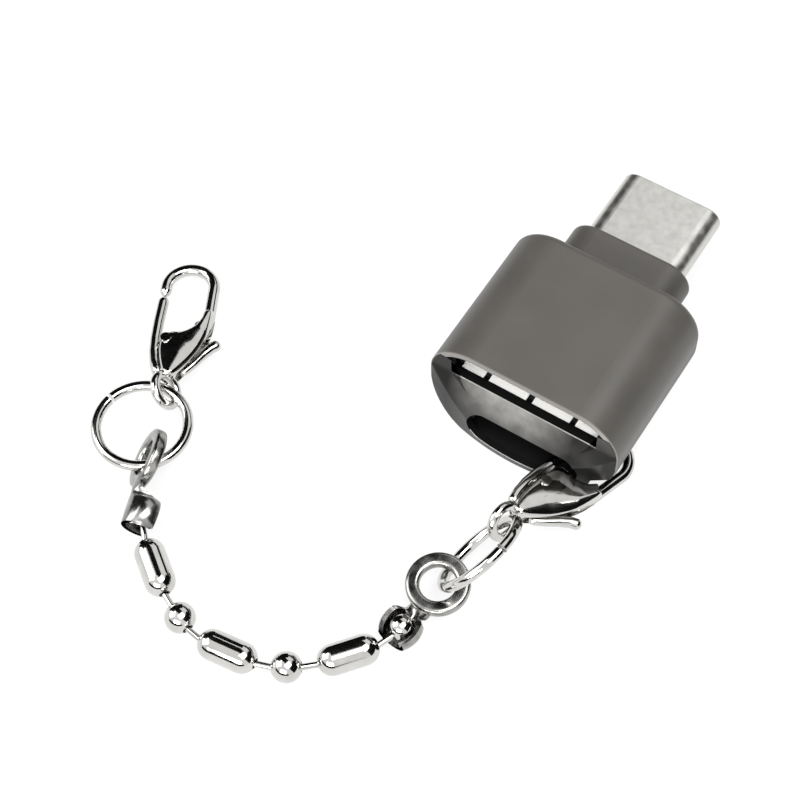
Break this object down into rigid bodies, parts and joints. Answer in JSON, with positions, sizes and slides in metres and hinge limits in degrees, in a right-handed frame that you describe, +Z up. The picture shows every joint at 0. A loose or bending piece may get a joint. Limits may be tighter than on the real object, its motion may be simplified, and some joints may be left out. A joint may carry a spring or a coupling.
{
  "type": "usb memory card reader",
  "caption": "Thumb-size memory card reader with a reversible usb plug and an end card slot, tethered by a bead chain with jump rings and sprung hook clasps.",
  "frame": {"origin": "centre of the housing's flat underside", "axes": "+Y towards the plug's tip, +Z up out of the housing's top, +X to the side with the lanyard port"},
  "size_m": [0.0388, 0.0492, 0.0083],
  "materials": {
    "housing_shell": "satin, fine grain",
    "end_cap_moulding": "gloss, smoky",
    "board": "plain",
    "plug_steel": "fine mottled satin",
    "plug_plastic": "plain",
    "contact_gold": "plain",
    "latch_steel": "plain",
    "socket_plastic": "plain",
    "socket_steel": "plain",
    "shield_tin": "plain",
    "chip_epoxy": "plain",
    "capacitor_ceramic": "plain",
    "resistor_ceramic": "plain",
    "clasp_nickel": "plain",
    "spring_steel": "plain",
    "ring_nickel": "plain",
    "connector_nickel": "plain",
    "bead_nickel": "plain",
    "pin_steel": "plain"
  },
  "bodies": {
    "reader": {"housing": "housing_shell", "end_cap": "end_cap_moulding", "circuit_board": "board", "plug_shell": "plug_steel", "plug_insulator": "plug_plastic", "plug_contacts": "contact_gold", "plug_latch_springs": "latch_steel", "card_socket_base": "socket_plastic", "card_socket_cover": "socket_steel", "card_shield_strips": "shield_tin", "card_socket_contacts": "contact_gold", "controller_chip": "chip_epoxy", "capacitors": "capacitor_ceramic", "resistors": "resistor_ceramic"},
    "clasp_1": {"clasp_1_body": "clasp_nickel", "clasp_1_rivet": "clasp_nickel", "clasp_1_spring": "spring_steel"},
    "lever_1": {"clasp_1_lever": "clasp_nickel"},
    "ring_1": {"jump_ring_1": "ring_nickel"},
    "connector_1_unit": {"connector_1": "connector_nickel", "end_ball_1": "bead_nickel"},
    "clasp_2": {"clasp_2_body": "clasp_nickel", "clasp_2_rivet": "clasp_nickel", "clasp_2_spring": "spring_steel"},
    "lever_2": {"clasp_2_lever": "clasp_nickel"},
    "ring_2": {"jump_ring_2": "ring_nickel"},
    "connector_2_unit": {"connector_2": "connector_nickel", "end_ball_2": "bead_nickel"},
    "pin_1_link": {"pin_1": "pin_steel"},
    "bar_1_link": {"bar_1": "bead_nickel"},
    "pin_2_link": {"pin_2": "pin_steel"},
    "ball_1_link": {"ball_1": "bead_nickel"},
    "pin_3_link": {"pin_3": "pin_steel"},
    "bar_2_link": {"bar_2": "bead_nickel"},
    "pin_4_link": {"pin_4": "pin_steel"},
    "ball_2_link": {"ball_2": "bead_nickel"},
    "pin_5_link": {"pin_5": "pin_steel"},
    "bar_3_link": {"bar_3": "bead_nickel"},
    "pin_6_link": {"pin_6": "pin_steel"}
  },
  "joints": [
    {"name": "clasp_1_swing", "type": "hinge", "parent": "reader", "child": "clasp_1", "pos_m": [0.0056, -0.0069, 0.0018], "axis": [0, 0, 1], "range_deg": [-2, 2.5]},
    {"name": "clasp_1_lever_turn", "type": "hinge", "parent": "clasp_1", "child": "lever_1", "pos_m": [0.00356, -0.00935, 0.00212], "axis": [0.2383, 0.0768, 0.9681], "range_deg": [-5, 0], "stiffness_Nm_per_rad": 0.001, "springref_deg": 5.73, "deforming": ["clasp_1_spring"]},
    {"name": "ring_1_swing", "type": "hinge", "parent": "clasp_1", "child": "ring_1", "pos_m": [0.00288, -0.0135, 0.00262], "axis": [0, 0, 1], "range_deg": [-5, 5]},
    {"name": "connector_1_swing", "type": "hinge", "parent": "ring_1", "child": "connector_1_unit", "pos_m": [0.00124, -0.01904, 0.00125], "axis": [0, 0, 1], "range_deg": [-6, 6]},
    {"name": "pin_1_swing", "type": "hinge", "parent": "connector_1_unit", "child": "pin_1_link", "pos_m": [0.00065, -0.02476, 0.00176], "axis": [0, 0, 1], "range_deg": [-7, 33]},
    {"name": "bar_1_swing", "type": "hinge", "parent": "pin_1_link", "child": "bar_1_link", "pos_m": [0.00014, -0.02582, 0.00154], "axis": [0, 0, -1], "range_deg": [-35, 5]},
    {"name": "pin_2_swing", "type": "hinge", "parent": "bar_1_link", "child": "pin_2_link", "pos_m": [-0.00267, -0.02905, 0.00114], "axis": [0, 0, 1], "range_deg": [-13, 27]},
    {"name": "ball_1_swing", "type": "hinge", "parent": "pin_2_link", "child": "ball_1_link", "pos_m": [-0.00356, -0.02985, 0.00114], "axis": [0, 0, -1], "range_deg": [-30, 10]},
    {"name": "pin_3_swing", "type": "hinge", "parent": "ball_1_link", "child": "pin_3_link", "pos_m": [-0.00529, -0.03093, 0.00114], "axis": [0, 0, 1], "range_deg": [-7, 33]},
    {"name": "bar_2_swing", "type": "hinge", "parent": "pin_3_link", "child": "bar_2_link", "pos_m": [-0.00643, -0.03132, 0.00114], "axis": [0, 0, -1], "range_deg": [-32, 8]},
    {"name": "pin_4_swing", "type": "hinge", "parent": "bar_2_link", "child": "pin_4_link", "pos_m": [-0.0107, -0.03185, 0.00114], "axis": [0, 0, 1], "range_deg": [-4, 36]},
    {"name": "ball_2_swing", "type": "hinge", "parent": "pin_4_link", "child": "ball_2_link", "pos_m": [-0.01188, -0.03166, 0.00114], "axis": [0, 0, -1], "range_deg": [-34, 6]},
    {"name": "pin_5_swing", "type": "hinge", "parent": "ball_2_link", "child": "pin_5_link", "pos_m": [-0.01376, -0.03086, 0.00114], "axis": [0, 0, 1], "range_deg": [-17, 23]},
    {"name": "bar_3_swing", "type": "hinge", "parent": "pin_5_link", "child": "bar_3_link", "pos_m": [-0.01484, -0.03034, 0.00114], "axis": [0, 0, -1], "range_deg": [-30, 10]},
    {"name": "pin_6_swing", "type": "hinge", "parent": "bar_3_link", "child": "pin_6_link", "pos_m": [-0.01831, -0.02781, 0.00136], "axis": [0, 0, 1], "range_deg": [-10, 30]},
    {"name": "connector_2_swing", "type": "hinge", "parent": "pin_6_link", "child": "connector_2_unit", "pos_m": [-0.01913, -0.02696, 0.00156], "axis": [0, 0, -1], "range_deg": [-32, 8]},
    {"name": "ring_2_swing", "type": "hinge", "parent": "connector_2_unit", "child": "ring_2", "pos_m": [-0.02218, -0.02313, 0.0016], "axis": [0, 0, 1], "range_deg": [-6, 6]},
    {"name": "clasp_2_swing", "type": "hinge", "parent": "ring_2", "child": "clasp_2", "pos_m": [-0.02438, -0.01692, 0.0016], "axis": [0, 0, 1], "range_deg": [-5, 5]},
    {"name": "clasp_2_lever_turn", "type": "hinge", "parent": "clasp_2", "child": "lever_2", "pos_m": [-0.02681, -0.01348, 0.00129], "axis": [-0.0348, 0.0644, 0.9973], "range_deg": [-14, 0], "stiffness_Nm_per_rad": 0.001, "springref_deg": 5.73, "deforming": ["clasp_2_spring"]}
  ]
}
